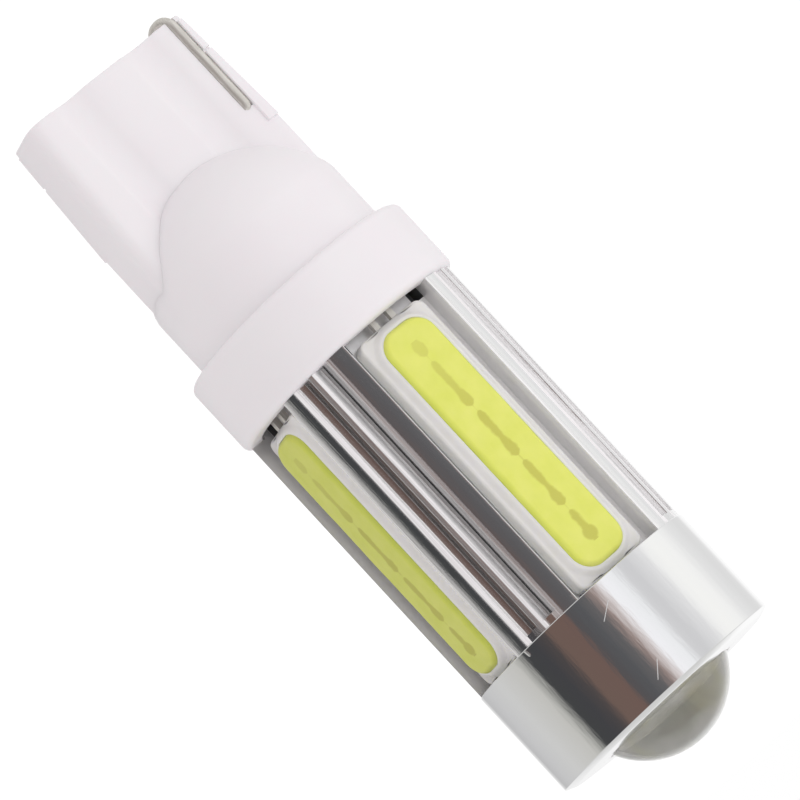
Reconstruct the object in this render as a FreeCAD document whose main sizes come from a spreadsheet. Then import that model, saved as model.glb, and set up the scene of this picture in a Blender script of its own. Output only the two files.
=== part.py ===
"""Wedge base LED bulb, in millimetres.

+Z runs along the bulb's axis from the wedge to the lens. The origin is on the axis, in the plane of the
collar's rear shoulder, which seats on the lamp holder. The wedge's broad faces look along -Y and +Y, and
the four light strips look along -Y, +X, +Y and -X.
"""

import FreeCAD, Part
import os
import Sketcher
from FreeCAD import Placement, Rotation, Vector

# Each row is a name, its size, and what it measures.
SIZES = [
    ("collar_radius", 6.2, "outer radius of the white collar"),
    ("collar_length", 3.75, "length of the white collar"),
    ("collar_edge_chamfer", 0.3, "chamfer of the collar's two outer edges"),
    ("shoulder_width", 0.95, "from the neck that enters the holder out to the collar's edge"),
    ("neck_length", 3.2, "straight length of the neck below the shoulder"),
    ("dome_height", 4.0, "height of the dome that closes the neck"),
    ("wedge_length", 13.1, "from the shoulder to the blade's end"),
    ("blade_width", 9.4, "width of the flat blade"),
    ("blade_thickness", 2.6, "thickness of the flat blade"),
    ("blade_soft_round", 0.75, "rounding of the two long edges that carry no wire"),
    ("blade_wire_round", 0.12, "rounding of the two long edges beside the wires"),
    ("rib_width", 2.2, "width of the rib along the middle of each broad face"),
    ("hollow_width", 2.0, "width of the shallow hollow on each side of the rib"),
    ("hollow_depth", 0.12, "depth of that hollow"),
    ("rail_width", 0.27, "width of the rail outside each contact wire"),
    ("rail_height", 0.14, "height of the rail above the broad face"),
    ("rail_end_gap", 0.3, "from the blade's end to the rail"),
    ("rail_first_length", 1.75, "length of the rail before its notch"),
    ("rail_notch", 0.15, "width of the notch in the rail"),
    ("rail_second_length", 4.2, "length of the rail after its notch"),
    ("wire_diameter", 0.48, "diameter of the contact wires"),
    ("wire_clearance", 0.02, "room round a contact wire in its channel"),
    ("wire_hole_inset", 1.1, "from the blade's side to the middle of a wire's hole"),
    ("wire_sink", 0.3, "how deep the wire lies in the broad face"),
    ("wire_overhang", 0.45, "how far the wire's loop stands past the blade's end"),
    ("wire_run", 5.6, "from the blade's end to the far end of the wire's run"),
    ("wire_loop_corner", 0.45, "length over which each corner of the wire's loop turns"),
    ("wire_tip_corner", 0.25, "length over which the wire's tip turns into the blade"),
    ("wire_tip_length", 0.3, "straight length of that tip"),
    ("neck_wall", 1.0, "wall of the hollow neck"),
    ("cavity_depth", 3.6, "depth of the hollow below the shoulder"),
    ("ledge_height", 0.2, "height of the driver board's ledge above the shoulder"),
    ("driver_board_thickness", 0.8, "thickness of the driver board"),
    ("driver_board_margin", 0.25, "from the strip leads' centres to the driver board's edge"),
    ("driver_board_clearance", 0.05, "room round the driver board"),
    ("spigot_length", 2.0, "length of the heat sink's spigot inside the collar"),
    ("spigot_step", 0.95, "from that spigot out to the collar's edge"),
    ("spigot_clearance", 0.02, "room round the spigot"),
    ("tab_width", 3.1, "width of the tab that fills the middle of a slot"),
    ("tab_length", 0.8, "length of that tab"),
    ("tab_clearance", 0.05, "room between the tab and the slot's floor"),
    ("strip_section_step", 0.25, "how far the corners beside the strips lie inside the collar's edge"),
    ("strip_section_length", 15.05, "length of the heat sink between the two collars"),
    ("slot_width", 5.2, "width of a strip's slot"),
    ("slot_depth", 1.8, "depth of the slot's flat floor below the corners"),
    ("groove_width", 0.7, "width of a corner groove"),
    ("groove_depth", 0.3, "depth of a corner groove's outer half"),
    ("groove_step_width", 0.35, "width of the deeper half of a groove, beside the land"),
    ("groove_step_depth", 0.4, "depth of that half below the outer half"),
    ("groove_land", 0.4, "land between a corner's two grooves"),
    ("groove_end_gap", 0.35, "plain band between the grooves and the front collar"),
    ("notch_width", 0.65, "width of the notch in each rear corner of a slot's floor"),
    ("notch_depth", 0.9, "depth of that notch"),
    ("notch_length", 0.45, "how far that notch shows past the white collar"),
    ("front_collar_step", 0.18, "how far the polished front collar lies inside the white collar's edge"),
    ("front_collar_length", 5.5, "length of the polished front collar"),
    ("front_bevel_height", 0.3, "height of the shallow bevel from the front collar's edge in to the lens"),
    ("front_bevel_width", 1.5, "width of that bevel"),
    ("rear_chamfer", 0.04, "chamfer round the front collar's rear edge"),
    ("bore_radius", 1.8, "radius of the bore that carries the front leads"),
    ("recess_depth", 2.3, "depth of the recess in the front face"),
    ("board_thickness", 0.7, "thickness of a strip board"),
    ("board_side_gap", 0.6, "gap between a strip board and its slot's side"),
    ("board_rear_gap", 0.4, "gap between a strip board and the white collar"),
    ("board_front_gap", 0.05, "gap between a strip board and the front collar"),
    ("board_corner", 0.45, "rounding of a strip board's corners"),
    ("adhesive_thickness", 0.15, "thickness of the adhesive under a strip board"),
    ("adhesive_inset", 0.25, "how far the adhesive stays inside the board's edge"),
    ("phosphor_side_margin", 0.5, "from the board's side to the phosphor"),
    ("phosphor_end_margin", 0.38, "from the board's end to the phosphor"),
    ("phosphor_height", 0.45, "height of the phosphor above its board"),
    ("phosphor_corner", 1.1, "rounding of the phosphor's corners in plan"),
    ("phosphor_edge_chamfer", 0.24, "chamfer of the phosphor's upper edge"),
    ("die_count", 12, "number of light-emitting dies in a row"),
    ("die_length", 0.55, "length of a die along the row"),
    ("die_width", 0.36, "width of a die"),
    ("die_height", 0.12, "height of a die"),
    ("die_end_margin", 0.75, "from the phosphor's end to the first die"),
    ("die_clearance", 0.08, "room round the row of dies under the phosphor"),
    ("lead_width", 0.3, "width of a square strip lead"),
    ("lead_spacing", 1.0, "distance between a strip's two leads"),
    ("lead_clearance", 0.03, "room round a lead in its tab"),
    ("front_lead_diameter", 0.8, "diameter over the insulation of a front lead"),
    ("front_lead_spacing", 1.5, "distance between the two front leads"),
    ("lens_radius", 3.45, "radius of the front lens"),
    ("lens_clearance", 0.05, "room round the front lens"),
    ("lens_step", 0.2, "from the front face to the base of the lens's dome"),
    ("lens_dome_height", 2.2, "height of the lens's dome"),
    ("lens_hollow_radius", 2.15, "radius of the hollow over the front chip"),
    ("lens_hollow_depth", 0.9, "depth of that hollow"),
    ("front_board_thickness", 0.8, "thickness of the front board"),
    ("front_board_clearance", 0.1, "room round the front board"),
    ("thermal_pad_thickness", 0.1, "thickness of the pad under the front board"),
    ("thermal_pad_inset", 0.2, "how far that pad stays inside the front board's edge"),
    ("front_led_width", 2.8, "width of the front chip's package"),
    ("front_led_height", 0.35, "height of the front chip's package"),
    ("front_phosphor_width", 1.9, "width of the front chip's phosphor"),
    ("front_phosphor_height", 0.18, "height of the front chip's phosphor"),
    ("driver_part_gap", 0.3, "gap between the parts on the driver board"),
    ("driver_chip_length", 2.9, "length of the driver chip"),
    ("driver_chip_width", 1.6, "width of the driver chip"),
    ("driver_chip_height", 1.1, "height of the driver chip"),
    ("rectifier_length", 2.4, "length of the bridge rectifier"),
    ("rectifier_width", 1.4, "width of the bridge rectifier"),
    ("rectifier_height", 1.0, "height of the bridge rectifier"),
    ("capacitor_length", 2.0, "length of the smoothing capacitor"),
    ("capacitor_width", 1.2, "width of the smoothing capacitor"),
    ("capacitor_height", 0.9, "height of the smoothing capacitor"),
    ("resistor_length", 1.0, "length of a current resistor"),
    ("resistor_width", 0.5, "width of a current resistor"),
    ("resistor_height", 0.35, "height of a current resistor"),
]

STRIPS = 4
WIRES = 2
FULL_TURN = 360
# Extra length of a cut that has to run clear of the solid it cuts.
OVERCUT = 1

# Places and sizes that follow from the sizes above. Axial places are along Z.
BLADE_END = "(0 - sizes.wedge_length)"
DOME_BASE = "(0 - sizes.neck_length)"
NECK_RADIUS = "(sizes.collar_radius - sizes.shoulder_width)"
CAVITY_RADIUS = f"({NECK_RADIUS} - sizes.neck_wall)"
SPIGOT_END = "(sizes.collar_length - sizes.spigot_length)"
SPIGOT_RADIUS = "(sizes.collar_radius - sizes.spigot_step)"
SPIGOT_SOCKET = f"({SPIGOT_RADIUS} + sizes.spigot_clearance)"
STRIP_SECTION_RADIUS = "(sizes.collar_radius - sizes.strip_section_step)"
FRONT_COLLAR_RADIUS = "(sizes.collar_radius - sizes.front_collar_step)"
SHOULDER = "(sizes.collar_length + sizes.strip_section_length)"
FRONT_FACE = f"({SHOULDER} + sizes.front_collar_length)"
LENS_SOCKET = "(sizes.lens_radius + sizes.lens_clearance)"
RECESS_FLOOR = f"({FRONT_FACE} - sizes.recess_depth)"
SLOT_FLOOR = f"({STRIP_SECTION_RADIUS} - sizes.slot_depth)"
BOARD_SEAT = f"({SLOT_FLOOR} + sizes.adhesive_thickness)"
BOARD_TOP = f"({BOARD_SEAT} + sizes.board_thickness)"
BOARD_HALF_WIDTH = "(sizes.slot_width / 2 - sizes.board_side_gap)"
BOARD_REAR = "(sizes.collar_length + sizes.board_rear_gap)"
BOARD_FRONT = f"({SHOULDER} - sizes.board_front_gap)"
PHOSPHOR_HALF_WIDTH = f"({BOARD_HALF_WIDTH} - sizes.phosphor_side_margin)"
PHOSPHOR_REAR = f"({BOARD_REAR} + sizes.phosphor_end_margin)"
PHOSPHOR_FRONT = f"({BOARD_FRONT} - sizes.phosphor_end_margin)"
DIES_REAR = f"({PHOSPHOR_REAR} + sizes.die_end_margin)"
DIES_FRONT = f"({PHOSPHOR_FRONT} - sizes.die_end_margin)"
LEAD_RADIUS = f"({BOARD_SEAT} + sizes.board_thickness / 2)"
DRIVER_BOARD_RADIUS = f"({LEAD_RADIUS} + sizes.driver_board_margin)"
DRIVER_BOARD_TOP = "(sizes.ledge_height + sizes.driver_board_thickness)"
FRONT_BOARD_SEAT = f"({RECESS_FLOOR} + sizes.thermal_pad_thickness)"
FRONT_BOARD_TOP = f"({FRONT_BOARD_SEAT} + sizes.front_board_thickness)"
FRONT_BOARD_RADIUS = f"({LENS_SOCKET} - sizes.front_board_clearance)"
WIRE_RADIUS = "(sizes.wire_diameter / 2)"
CHANNEL_RADIUS = f"({WIRE_RADIUS} + sizes.wire_clearance)"
HOLE_ACROSS = "(sizes.blade_width / 2 - sizes.wire_hole_inset)"
# The wire's visible run lies this far from the blade's middle across its width and across its thickness.
RUN_ACROSS = f"(sizes.blade_width / 2 - sizes.rail_width - {CHANNEL_RADIUS})"
RUN_OUT = f"(sizes.blade_thickness / 2 - sizes.wire_sink + {WIRE_RADIUS})"
RUN_STEP = f"({RUN_ACROSS} - {HOLE_ACROSS})"
# Seen square on, the loop has the hole's line on one side and the visible run on the other.
LOOP_TURN = f"(0 - 180 + atan2({RUN_OUT}; {RUN_STEP}) / 1deg)"
LOOP_WIDTH = f"sqrt({RUN_STEP} ^ 2 + {RUN_OUT} ^ 2)"
LOOP_LOW = f"({BLADE_END} - sizes.wire_overhang + {WIRE_RADIUS})"
LOOP_HIGH = f"({LOOP_LOW} + sizes.wire_loop_corner)"
RUN_END = f"({BLADE_END} + sizes.wire_run - {WIRE_RADIUS})"
TIP_LOW = f"({RUN_END} - sizes.wire_tip_corner)"
TIP_REACH = f"({LOOP_WIDTH} - sizes.wire_tip_corner - sizes.wire_tip_length)"

doc = FreeCAD.newDocument("wedge_base_led_bulb")


def recompute():
    """Recompute the document and stop at the first thing that fails."""
    doc.recompute()
    for thing in doc.Objects:
        if "Invalid" in thing.State or "Error" in thing.State:
            raise RuntimeError(f"{thing.Label} did not compute")


sheet = doc.addObject("Spreadsheet::Sheet", "sizes")
sheet.set("A1", "Name")
sheet.set("B1", "Millimetres")
sheet.set("C1", "Measures")
for row, (alias, size, meaning) in enumerate(SIZES, start=2):
    sheet.set(f"A{row}", alias)
    sheet.set(f"B{row}", str(size))
    sheet.set(f"C{row}", meaning)
    sheet.setAlias(f"B{row}", alias)
recompute()


def value(expression):
    """The number that an expression over the sheet gives now."""
    return float(sheet.evalExpression(str(expression)))


def new_body(label):
    """An empty body that becomes one sub-part."""
    body = doc.addObject("PartDesign::Body", label)
    body.Label = label
    return body


def origin_feature(body, role):
    """One of the body's own origin planes or axes."""
    return next(part for part in body.Origin.OriginFeatures if part.Role == role)


def attach(feature, body, role="XY_Plane", **offsets):
    """Attach a feature to an origin plane, moved by expressions for x, y and z in that plane's frame."""
    feature.AttachmentSupport = (origin_feature(body, role), [""])
    feature.MapMode = "FlatFace"
    for axis, expression in offsets.items():
        feature.setExpression(f"AttachmentOffset.Base.{axis}", str(expression))
    return feature


def new_sketch(body, name, role="XY_Plane", **offsets):
    """A sketch on one of the body's origin planes."""
    return attach(body.newObject("Sketcher::SketchObject", name), body, role, **offsets)


def pin_down(sketch, geometry, point, across, up):
    """Hold a point of a sketch at two expressions, measured from the sketch's origin."""
    for kind, expression in (("DistanceX", across), ("DistanceY", up)):
        constraint = Sketcher.Constraint(kind, geometry, point, value(expression))
        index = sketch.addConstraint(constraint)
        sketch.setExpression(f"Constraints[{index}]", str(expression))


def draw_circle(sketch, radius, across="0", up="0"):
    """A circle with its centre and radius held by expressions."""
    centre = Vector(value(across), value(up), 0)
    circle = sketch.addGeometry(Part.Circle(centre, Vector(0, 0, 1), value(radius)), False)
    pin_down(sketch, circle, 3, across, up)
    index = sketch.addConstraint(Sketcher.Constraint("Radius", circle, value(radius)))
    sketch.setExpression(f"Constraints[{index}]", str(radius))


def draw_lines(sketch, corners):
    """Straight lines from corner to corner, with each corner held by two expressions."""
    points = [Vector(value(across), value(up), 0) for across, up in corners]
    lines = [sketch.addGeometry(Part.LineSegment(start, end), False) for start, end in zip(points, points[1:])]
    for line, following in zip(lines, lines[1:]):
        sketch.addConstraint(Sketcher.Constraint("Coincident", line, 2, following, 1))
    for line, (across, up) in zip(lines, corners):
        pin_down(sketch, line, 1, across, up)
    return lines


def draw_rectangle(sketch, left, right, low, high):
    """A plain rectangle between four expressions."""
    lines = draw_lines(sketch, [(left, low), (right, low), (right, high), (left, high), (left, low)])
    sketch.addConstraint(Sketcher.Constraint("Coincident", lines[-1], 2, lines[0], 1))


def centred(width):
    """The two ends of a width that is centred on zero."""
    return f"(0 - {width} / 2)", f"({width} / 2)"


def pad(body, name, sketch, length):
    """Extrude a sketch along its normal."""
    feature = body.newObject("PartDesign::Pad", name)
    feature.Profile = sketch
    feature.setExpression("Length", str(length))
    recompute()
    return feature


def pocket(body, name, sketch, length):
    """Cut a sketch out along its normal, and make sure that it removed something."""
    before = body.Shape.Volume
    feature = body.newObject("PartDesign::Pocket", name)
    feature.Profile = sketch
    feature.Reversed = True
    feature.setExpression("Length", str(length))
    recompute()
    check_removed(body, name, before)
    return feature


def check_removed(body, name, before):
    """Stop if a cut left the solid as it was."""
    if body.Shape.Volume >= before:
        raise RuntimeError(f"{name} of {body.Label} removed nothing")


def cylinder(body, name, radius, low, high, cut=False, **offsets):
    """Add or cut a cylinder along Z between two axial places."""
    before = body.Shape.Volume if cut else 0
    kind = "PartDesign::SubtractiveCylinder" if cut else "PartDesign::AdditiveCylinder"
    feature = attach(body.newObject(kind, name), body, z=low, **offsets)
    feature.setExpression("Radius", str(radius))
    feature.setExpression("Height", f"({high}) - ({low})")
    recompute()
    if cut:
        check_removed(body, name, before)
    return feature


def cap(body, name, radius, height, level, downward=False):
    """Add a spherical cap on a round face, so that it rises along Z from its level or hangs down from it."""
    sphere = f"(({radius} ^ 2 + {height} ^ 2) / (2 * {height}))"
    tilt = f"asin(({sphere} - {height}) / {sphere})"
    centre = f"{level} + {sphere} - {height}" if downward else f"{level} + {height} - {sphere}"
    feature = attach(body.newObject("PartDesign::AdditiveSphere", name), body, z=centre)
    feature.setExpression("Radius", sphere)
    if downward:
        feature.Angle1 = -90
        feature.setExpression("Angle2", f"0deg - {tilt}")
    else:
        feature.setExpression("Angle1", tilt)
        feature.Angle2 = 90
    recompute()
    return feature


def cone(body, name, wide, narrow, low, high):
    """Add a cone along Z between two axial places, with its wide end low."""
    feature = attach(body.newObject("PartDesign::AdditiveCone", name), body, z=low)
    feature.setExpression("Radius1", wide)
    feature.setExpression("Radius2", narrow)
    feature.setExpression("Height", f"({high}) - ({low})")
    recompute()
    return feature


def block(body, name, across, outward, along, cut=False):
    """Add or cut a box between pairs of expressions along X, Y and Z."""
    before = body.Shape.Volume if cut else 0
    kind = "PartDesign::SubtractiveBox" if cut else "PartDesign::AdditiveBox"
    feature = body.newObject(kind, name)
    attach(feature, body, x=across[0], y=outward[0], z=along[0])
    feature.setExpression("Length", f"({across[1]}) - ({across[0]})")
    feature.setExpression("Width", f"({outward[1]}) - ({outward[0]})")
    feature.setExpression("Height", f"({along[1]}) - ({along[0]})")
    recompute()
    if cut:
        check_removed(body, name, before)
    return feature


def repeat_round(body, name, originals, count):
    """Repeat features evenly round the bulb's axis."""
    pattern = body.newObject("PartDesign::PolarPattern", name)
    pattern.Originals = originals
    pattern.Axis = (origin_feature(body, "Z_Axis"), [""])
    pattern.Angle = FULL_TURN
    pattern.Occurrences = count
    body.Tip = pattern
    recompute()
    return pattern


def edge_names(feature, wanted):
    """Names of the edges that a test picks from a feature's shape."""
    return [f"Edge{number}" for number, edge in enumerate(feature.Shape.Edges, start=1) if wanted(edge)]


def circle_at(place, radius):
    """A test for a round edge of a radius at an axial place."""
    near = 0.01

    def wanted(edge):
        if not isinstance(edge.Curve, Part.Circle):
            return False
        flat = edge.BoundBox.ZLength < near
        level = abs(edge.Curve.Center.z - value(place)) < near
        return flat and level and abs(edge.Curve.Radius - value(radius)) < near

    return wanted


def dress_edges(body, kind, name, feature, wanted, size):
    """Round or chamfer the edges that a test picks."""
    names = edge_names(feature, wanted)
    if not names:
        raise RuntimeError(f"{name} of {body.Label} found no edge")
    dressed = body.newObject(f"PartDesign::{kind}", name)
    dressed.Base = (feature, names)
    dressed.setExpression("Radius" if kind == "Fillet" else "Size", str(size))
    recompute()
    return dressed


def turn_about_axis(body, number, count):
    """Turn a whole sub-part about the bulb's axis to its place among its like."""
    body.Placement = Placement(Vector(0, 0, 0), Rotation(Vector(0, 0, 1), FULL_TURN * number / count))


def loop_sketch(body, name, role, turn_axis, **offsets):
    """A sketch whose origin is on the wire hole's axis and whose across direction points to the visible run."""
    sketch = new_sketch(body, name, role)
    sketch.AttachmentOffset = Placement(Vector(0, 0, 0), Rotation(turn_axis, 1))
    sketch.setExpression("AttachmentOffset.Rotation.Angle", LOOP_TURN)
    for axis, expression in offsets.items():
        sketch.setExpression(f"AttachmentOffset.Base.{axis}", expression)
    return sketch


# The wedge base is one moulding of translucent white plastic: blade, domed neck and collar.
base = new_body("wedge_base")
collar = cylinder(base, "collar", "sizes.collar_radius", "0", "sizes.collar_length")


def collar_rim(edge):
    """The collar's two outer edges."""
    at_rear = circle_at("0", "sizes.collar_radius")
    at_front = circle_at("sizes.collar_length", "sizes.collar_radius")
    return at_rear(edge) or at_front(edge)


dress_edges(base, "Chamfer", "collar_rims", collar, collar_rim, "sizes.collar_edge_chamfer")

blade_left, blade_right = centred("sizes.blade_width")
blade_rear, blade_front = centred("sizes.blade_thickness")
outline = new_sketch(base, "blade_outline", z=BLADE_END)
draw_rectangle(outline, blade_left, blade_right, blade_rear, blade_front)
blade = pad(base, "blade", outline, "sizes.wedge_length")


def long_edge(soft):
    """A test for the blade's long edges, beside a wire or away from one."""
    def wanted(edge):
        middle = edge.CenterOfMass
        upright = edge.BoundBox.ZLength > value("sizes.wedge_length") / 2
        return upright and (middle.x * middle.y < 0) == soft

    return wanted


dress_edges(base, "Fillet", "soft_edges", blade, long_edge(True), "sizes.blade_soft_round")
dress_edges(base, "Fillet", "wire_edges", base.Tip, long_edge(False), "sizes.blade_wire_round")

# Two shallow hollows on each broad face leave a rib between them.
hollow_radius = "((sizes.hollow_width / 2) ^ 2 + sizes.hollow_depth ^ 2) / (2 * sizes.hollow_depth)"
hollow_offset = "(sizes.rib_width + sizes.hollow_width) / 2"
hollow_centre = f"(sizes.blade_thickness / 2 - sizes.hollow_depth + {hollow_radius})"
hollows = []
for side, across in (("left", f"0 - {hollow_offset}"), ("right", hollow_offset)):
    drawing = new_sketch(base, f"hollow_{side}_outline", z=BLADE_END)
    draw_circle(drawing, hollow_radius, across, f"0 - {hollow_centre}")
    hollows.append(pocket(base, f"hollow_{side}", drawing, "sizes.wedge_length"))
repeat_round(base, "hollows", hollows, WIRES)

# A rail runs along the outside of each wire and has a notch in it.
rail_outer = "0 - sizes.blade_width / 2"
rail_inner = "0 - sizes.blade_width / 2 + sizes.rail_width"
rail_top = "0 - sizes.blade_thickness / 2 - sizes.rail_height"
first_low = f"({BLADE_END} + sizes.rail_end_gap)"
first_high = f"({first_low} + sizes.rail_first_length)"
second_low = f"({first_high} + sizes.rail_notch)"
second_high = f"({second_low} + sizes.rail_second_length)"
rails = [
    block(base, "first_rail", (rail_outer, rail_inner), (rail_top, "0"), (first_low, first_high)),
    block(base, "second_rail", (rail_outer, rail_inner), (rail_top, "0"), (second_low, second_high)),
]
repeat_round(base, "rails", rails, WIRES)

# The neck is straight below the shoulder and ends in a dome that runs into the blade.
cylinder(base, "neck", NECK_RADIUS, DOME_BASE, "0")
cap(base, "dome", NECK_RADIUS, "sizes.dome_height", DOME_BASE, downward=True)

# Inside are the hollow neck, the driver board's pocket and the socket for the heat sink.
cylinder(base, "cavity", CAVITY_RADIUS, "(0 - sizes.cavity_depth)", "sizes.collar_length", cut=True)
board_pocket = f"({DRIVER_BOARD_RADIUS} + sizes.driver_board_clearance)"
cylinder(base, "driver_pocket", board_pocket, "sizes.ledge_height", "sizes.collar_length", cut=True)
cylinder(base, "spigot_socket", SPIGOT_SOCKET, SPIGOT_END, "sizes.collar_length", cut=True)

# A tab on the collar's inside fills the middle of each slot and holds that strip's two leads.
tab_left, tab_right = centred("sizes.tab_width")
tab_outer = f"(0 - {SPIGOT_SOCKET} - sizes.spigot_clearance)"
tab_inner = f"(0 - {SLOT_FLOOR} - sizes.tab_clearance)"
tab_low = "(sizes.collar_length - sizes.tab_length)"
tab = block(base, "tab", (tab_left, tab_right), (tab_outer, tab_inner), (tab_low, "sizes.collar_length"))
repeat_round(base, "tabs", [tab], STRIPS)
lead_left, lead_right = centred("sizes.lead_spacing")
lead_low, lead_high = f"(0 - {LEAD_RADIUS} - sizes.lead_width / 2)", f"(0 - {LEAD_RADIUS} + sizes.lead_width / 2)"
lead_holes = [
    block(base, f"lead_hole_{side}",
          (f"{across} - sizes.lead_width / 2 - sizes.lead_clearance",
           f"{across} + sizes.lead_width / 2 + sizes.lead_clearance"),
          (f"{lead_low} - sizes.lead_clearance", f"{lead_high} + sizes.lead_clearance"),
          (tab_low, f"(sizes.collar_length + {OVERCUT})"), cut=True)
    for side, across in (("left", lead_left), ("right", lead_right))
]
repeat_round(base, "lead_holes", lead_holes, STRIPS)

# Each wire has a hole up through the blade, a notch in its end, a channel along its face and a tip pocket.
run_left, run_rear = f"0 - {RUN_ACROSS}", f"0 - {RUN_OUT}"
wire_cuts = [
    cylinder(base, "wire_hole", CHANNEL_RADIUS, f"({BLADE_END} - {OVERCUT})", "sizes.ledge_height",
             cut=True, x=f"0 - {HOLE_ACROSS}"),
    cylinder(base, "wire_channel", CHANNEL_RADIUS, f"({BLADE_END} - {OVERCUT})", RUN_END,
             cut=True, x=run_left, y=run_rear),
]
loop_outer = f"({LOOP_WIDTH} + {OVERCUT})"
for name, inner, low, high in (
    ("end_notch", "0", BLADE_END, f"({LOOP_HIGH} + {WIRE_RADIUS})"),
    ("tip_pocket", f"{TIP_REACH} - sizes.wire_clearance", f"({TIP_LOW} - {WIRE_RADIUS})",
     f"({RUN_END} + {CHANNEL_RADIUS})"),
):
    drawing = loop_sketch(base, f"{name}_outline", "XY_Plane", Vector(0, 0, 1), x=f"0 - {HOLE_ACROSS}", z=low)
    draw_rectangle(drawing, inner, loop_outer, f"0 - {CHANNEL_RADIUS}", CHANNEL_RADIUS)
    wire_cuts.append(pocket(base, name, drawing, f"{high} - {low}"))
repeat_round(base, "wire_cuts", wire_cuts, WIRES)

# The contact wires run from the driver board's underside through the blade and back along its face.
for number in range(WIRES):
    wire = new_body(f"contact_wire_{number + 1}")
    path = loop_sketch(wire, "path", "XZ_Plane", Vector(0, 1, 0), x=f"0 - {HOLE_ACROSS}")
    lines = draw_lines(path, [
        ("0", "sizes.ledge_height"),
        ("0", LOOP_HIGH),
        ("sizes.wire_loop_corner", LOOP_LOW),
        (f"{LOOP_WIDTH} - sizes.wire_loop_corner", LOOP_LOW),
        (LOOP_WIDTH, LOOP_HIGH),
        (LOOP_WIDTH, TIP_LOW),
        (f"{LOOP_WIDTH} - sizes.wire_tip_corner", RUN_END),
        (TIP_REACH, RUN_END),
    ])
    pin_down(path, lines[-1], 2, TIP_REACH, RUN_END)
    recompute()
    section = new_sketch(wire, "section", z="sizes.ledge_height")
    draw_circle(section, WIRE_RADIUS, across=f"0 - {HOLE_ACROSS}")
    sweep = wire.newObject("PartDesign::AdditivePipe", "sweep")
    sweep.Profile = section
    sweep.Spine = (path, [f"Edge{line + 1}" for line in lines])
    sweep.Transition = "Right corner"
    recompute()
    turn_about_axis(wire, number, WIRES)

# The heat sink is turned from one bar, then slotted, grooved and bored.
sink = new_body("heat_sink")
cylinder(sink, "spigot", SPIGOT_RADIUS, SPIGOT_END, "sizes.collar_length")
cylinder(sink, "strip_section", STRIP_SECTION_RADIUS, "sizes.collar_length", SHOULDER)
front_collar = cylinder(sink, "front_collar", FRONT_COLLAR_RADIUS, SHOULDER, FRONT_FACE)
rear_rim = circle_at(SHOULDER, FRONT_COLLAR_RADIUS)
dress_edges(sink, "Chamfer", "rear_edge", front_collar, rear_rim, "sizes.rear_chamfer")
bevel_top = f"({FRONT_FACE} + sizes.front_bevel_height)"
cone(sink, "front_bevel", FRONT_COLLAR_RADIUS, f"{FRONT_COLLAR_RADIUS} - sizes.front_bevel_width",
     FRONT_FACE, bevel_top)
cylinder(sink, "lens_recess", LENS_SOCKET, RECESS_FLOOR, f"({bevel_top} + {OVERCUT})", cut=True)
cylinder(sink, "lead_bore", "sizes.bore_radius", f"({SPIGOT_END} - {OVERCUT})", RECESS_FLOOR, cut=True)

slot_outline = new_sketch(sink, "slot_outline", z=f"{SPIGOT_END} - {OVERCUT}")
slot_left, slot_right = centred("sizes.slot_width")
slot_outer = f"0 - {FRONT_COLLAR_RADIUS} - {OVERCUT}"
draw_rectangle(slot_outline, slot_left, slot_right, slot_outer, f"0 - {SLOT_FLOOR}")
slot_cuts = [pocket(sink, "slot", slot_outline, f"{SHOULDER} - {SPIGOT_END} + {OVERCUT}")]

# A notch in each rear corner of the slot's floor lets air past the collar.
notch_floor = f"(0 - {SLOT_FLOOR} + sizes.notch_depth)"
notch_end = "(sizes.collar_length + sizes.notch_length)"
for side, across in (
    ("left", (slot_left, f"{slot_left} + sizes.notch_width")),
    ("right", (f"{slot_right} - sizes.notch_width", slot_right)),
):
    slot_cuts.append(block(sink, f"notch_{side}", across, (f"(0 - {SLOT_FLOOR} - {OVERCUT})", notch_floor),
                           (f"({SPIGOT_END} - {OVERCUT})", notch_end), cut=True))
repeat_round(sink, "slots", slot_cuts, STRIPS)


def cut_groove(name, width, depth, side):
    """One groove of the corner between two slots, cut at a right angle to the corner's middle line."""
    drawing = new_sketch(sink, f"{name}_outline")
    drawing.AttachmentOffset = Placement(Vector(0, 0, 0), Rotation(Vector(0, 0, 1), FULL_TURN / STRIPS / 2))
    drawing.setExpression("AttachmentOffset.Base.z", "sizes.collar_length")
    middle = f"{side} * (sizes.groove_land + {width}) / 2"
    outer = f"0 - {STRIP_SECTION_RADIUS} - {OVERCUT}"
    floor = f"0 - {STRIP_SECTION_RADIUS} + {depth}"
    draw_rectangle(drawing, f"{middle} - {width} / 2", f"{middle} + {width} / 2", outer, floor)
    return pocket(sink, name, drawing, "sizes.strip_section_length - sizes.groove_end_gap")


step_depth = "(sizes.groove_depth + sizes.groove_step_depth)"
grooves = [
    cut_groove("groove_left", "sizes.groove_width", "sizes.groove_depth", -1),
    cut_groove("groove_right", "sizes.groove_width", "sizes.groove_depth", 1),
    cut_groove("groove_step_left", "sizes.groove_step_width", step_depth, -1),
    cut_groove("groove_step_right", "sizes.groove_step_width", step_depth, 1),
]
repeat_round(sink, "grooves", grooves, STRIPS)


def plate(body, name, half_width, rear, front, seat, thickness, corner):
    """A flat plate that lies in a slot and faces -Y, with rounded corners."""
    drawing = new_sketch(body, f"{name}_outline", "XZ_Plane", z=seat)
    draw_rectangle(drawing, f"0 - {half_width}", half_width, rear, front)
    flat = pad(body, name, drawing, thickness)

    def corner_edge(edge):
        return edge.BoundBox.YLength > value(thickness) / 2

    return dress_edges(body, "Fillet", f"{name}_corners", flat, corner_edge, corner)


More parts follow.
